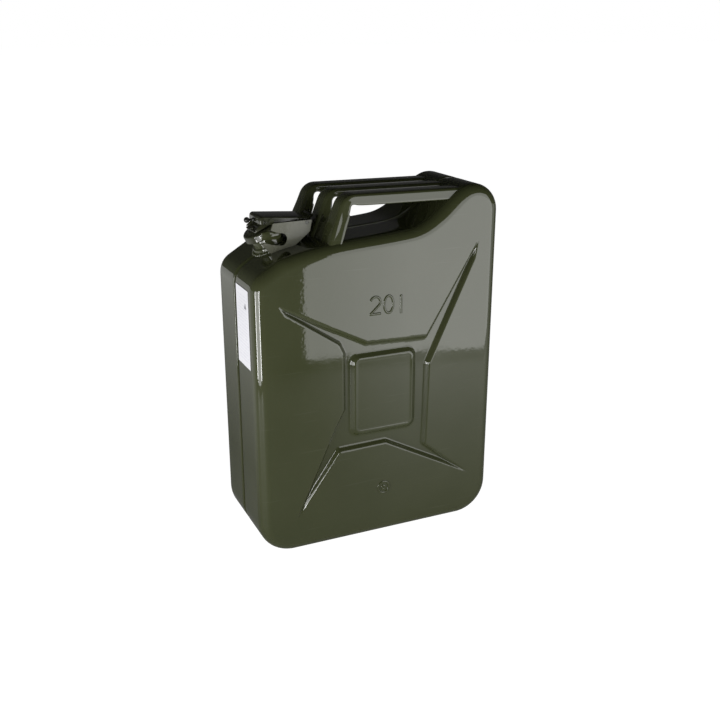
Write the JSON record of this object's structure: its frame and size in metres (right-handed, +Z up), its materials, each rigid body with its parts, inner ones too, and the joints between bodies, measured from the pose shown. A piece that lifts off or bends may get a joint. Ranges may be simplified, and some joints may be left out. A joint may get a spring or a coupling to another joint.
{
  "type": "jerry can",
  "caption": "Pressed steel fuel can with X-stamped sides, three-bar carrying handle and a slanted neck closed by a hinged lid with a clamping lever",
  "frame": {"origin": "centre of the flat base, on the surface the can stands on", "axes": "+Z up; the neck and the closure are at -X; the handles run along X; the seam lies in the plane Y = 0"},
  "size_m": [0.3456, 0.15, 0.477],
  "materials": {
    "enamel": "glossy dark olive stoving enamel with slight orange peel",
    "bare_steel": "plain zinc-plated steel",
    "dark_steel": "black enamelled steel",
    "rubber": "matt black nitrile rubber",
    "paper": "satin white paper label, stuck on"
  },
  "bodies": {
    "can": {"near_shell": "enamel", "far_shell": "enamel", "seam_weld": "enamel", "near_handle": "enamel", "middle_handle": "enamel", "far_handle": "enamel", "near_leg_web": "enamel", "far_leg_web": "enamel", "neck_tube": "enamel", "neck_lip": "enamel", "neck_collar": "enamel", "breather_tube": "bare_steel", "near_cheek": "enamel", "far_cheek": "enamel", "cheek_brace": "enamel", "hinge_pin": "bare_steel", "label": "paper"},
    "lid_unit": {"lid": "enamel", "lid_gasket": "rubber", "lid_yoke": "enamel", "front_rivet": "enamel", "rear_rivet": "enamel"},
    "lever_unit": {"lever": "enamel", "lever_pin": "enamel"},
    "locking_pin": {"lock_pin": "dark_steel"}
  },
  "joints": [
    {"name": "lid_hinge", "type": "hinge", "parent": "can", "child": "lid_unit", "pos_m": [-0.083, 0, 0.4375], "axis": [0, 1, 0], "range_deg": [0, 90]},
    {"name": "lever_pivot", "type": "hinge", "parent": "lid_unit", "child": "lever_unit", "pos_m": [-0.128, 0, 0.441], "axis": [0, -1, 0], "range_deg": [0, 8]},
    {"name": "lock_pin_slide", "type": "slide", "parent": "lever_unit", "child": "locking_pin", "axis": [-1, 0, 0], "range_m": [0, 0.006]}
  ]
}
